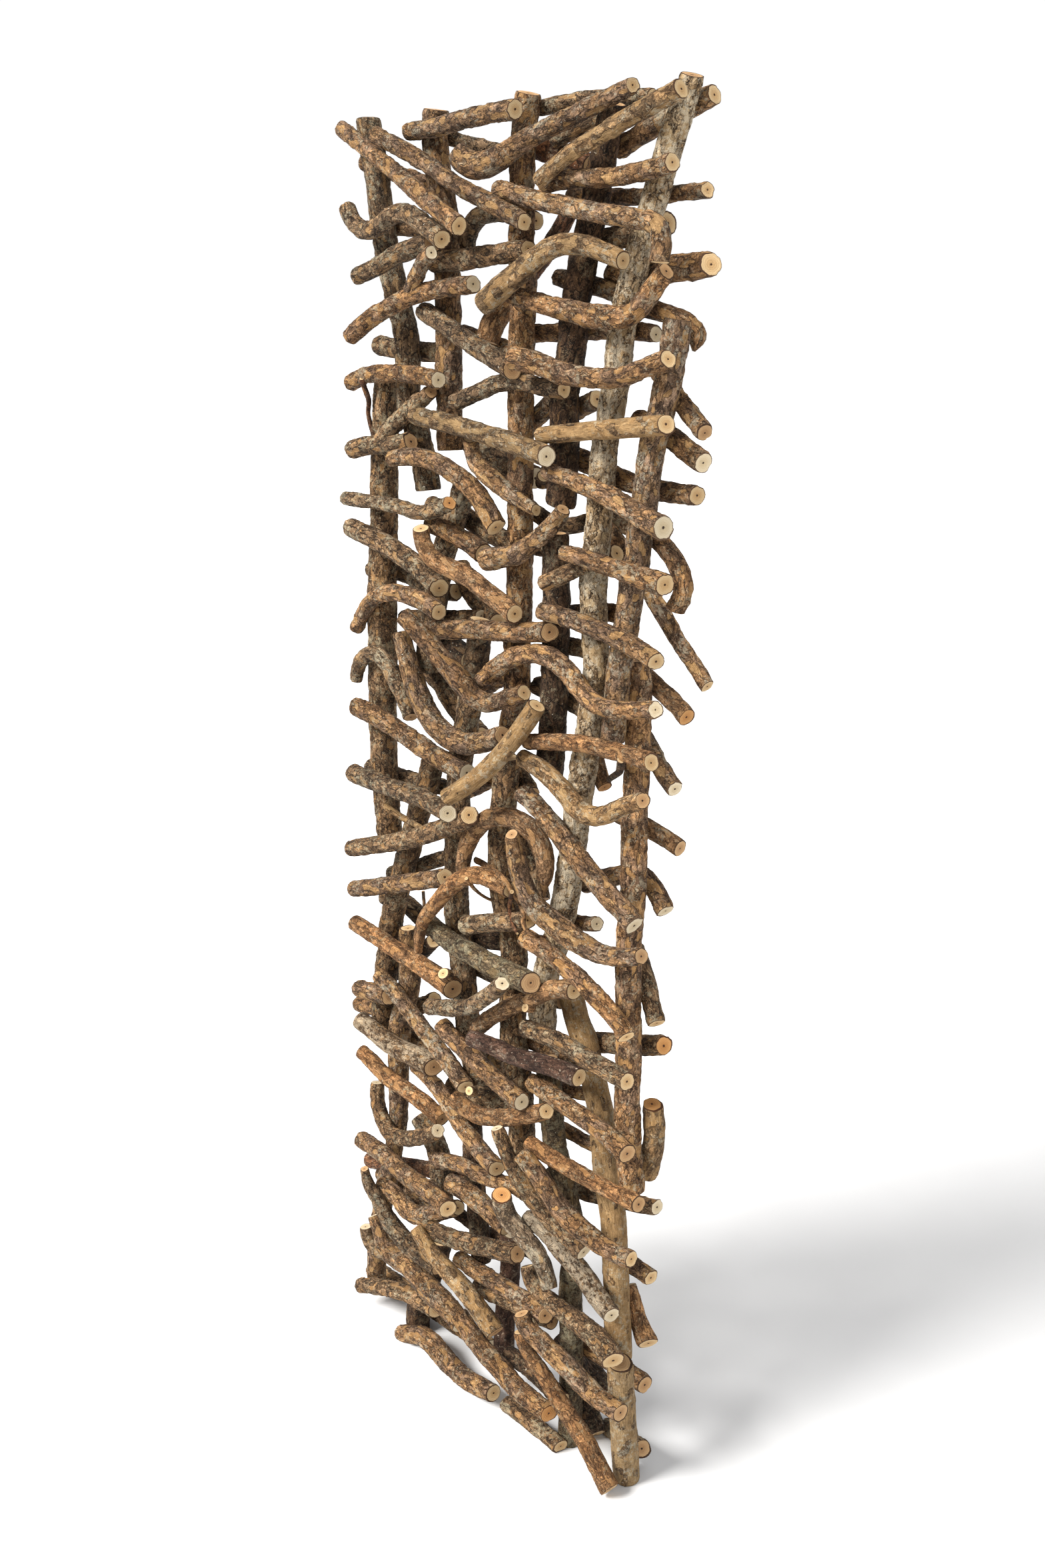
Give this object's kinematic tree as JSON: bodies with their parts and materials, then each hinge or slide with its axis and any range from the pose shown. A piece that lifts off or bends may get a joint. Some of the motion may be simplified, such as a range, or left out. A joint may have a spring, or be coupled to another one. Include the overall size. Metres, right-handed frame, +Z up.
{
  "type": "branch screen",
  "caption": "Free-standing openwork screen of rough upright branch poles with short sawn branches nailed across both faces.",
  "frame": {"origin": "middle of the standing footprint, on the floor plane the feet rest on", "axes": "+Z up along the poles, +X along the panel to the right as seen from the front, -Y towards the front face"},
  "size_m": [0.6469, 0.1891, 1.7717],
  "materials": {
    "grey_brown_bark": "rough, weathered",
    "tan_bark": "rough, cracked",
    "dark_bark": "rough, dark",
    "peeled_wood": "smooth, debarked",
    "grey_green_bark": "smooth, algae tinted",
    "purple_brown_bark": "fine, smooth bark",
    "orange_bark": "rough, warm",
    "lichen_bark": "rough, lichen covered"
  },
  "bodies": {
    "root": {"upright_01": "grey_brown_bark", "upright_02": "tan_bark", "upright_03": "tan_bark", "upright_04": "dark_bark", "upright_05": "peeled_wood", "upright_06": "grey_brown_bark", "upright_07": "tan_bark", "upright_08": "grey_brown_bark", "upright_09": "dark_bark", "upright_10": "tan_bark", "upright_12": "grey_brown_bark", "upright_13": "grey_brown_bark", "upright_14": "grey_green_bark", "upright_14b": "grey_green_bark", "upright_15": "peeled_wood", "upright_16": "grey_brown_bark", "upright_17": "tan_bark", "upright_18": "peeled_wood", "upright_19": "grey_brown_bark", "upright_21": "purple_brown_bark", "upright_22": "dark_bark", "upright_25": "dark_bark", "front_branch_09": "tan_bark", "front_branch_05": "tan_bark", "front_branch_07": "peeled_wood", "front_branch_10": "grey_brown_bark", "front_branch_12": "tan_bark", "front_branch_14": "peeled_wood", "front_branch_18": "tan_bark", "front_branch_19": "peeled_wood", "front_branch_22": "peeled_wood", "front_branch_23": "tan_bark", "front_branch_26": "tan_bark", "front_branch_28": "orange_bark", "front_branch_30": "peeled_wood", "front_branch_32": "tan_bark", "front_branch_38": "tan_bark", "front_branch_39": "tan_bark", "front_branch_43": "peeled_wood", "front_branch_45": "peeled_wood", "front_branch_47": "grey_brown_bark", "front_branch_49": "orange_bark", "front_branch_50": "orange_bark", "front_branch_51": "tan_bark", "front_branch_52": "tan_bark", "front_branch_54": "orange_bark", "front_branch_55": "grey_green_bark", "front_branch_58": "tan_bark", "front_branch_60": "tan_bark", "front_branch_61": "lichen_bark", "front_branch_63": "purple_brown_bark", "front_branch_71": "grey_brown_bark", "front_branch_72": "tan_bark", "front_branch_75": "peeled_wood", "front_branch_76": "tan_bark", "front_branch_78": "orange_bark", "front_branch_80": "grey_brown_bark", "front_branch_84": "tan_bark", "front_branch_86": "grey_brown_bark", "front_branch_90": "tan_bark"}
  },
  "joints": []
}
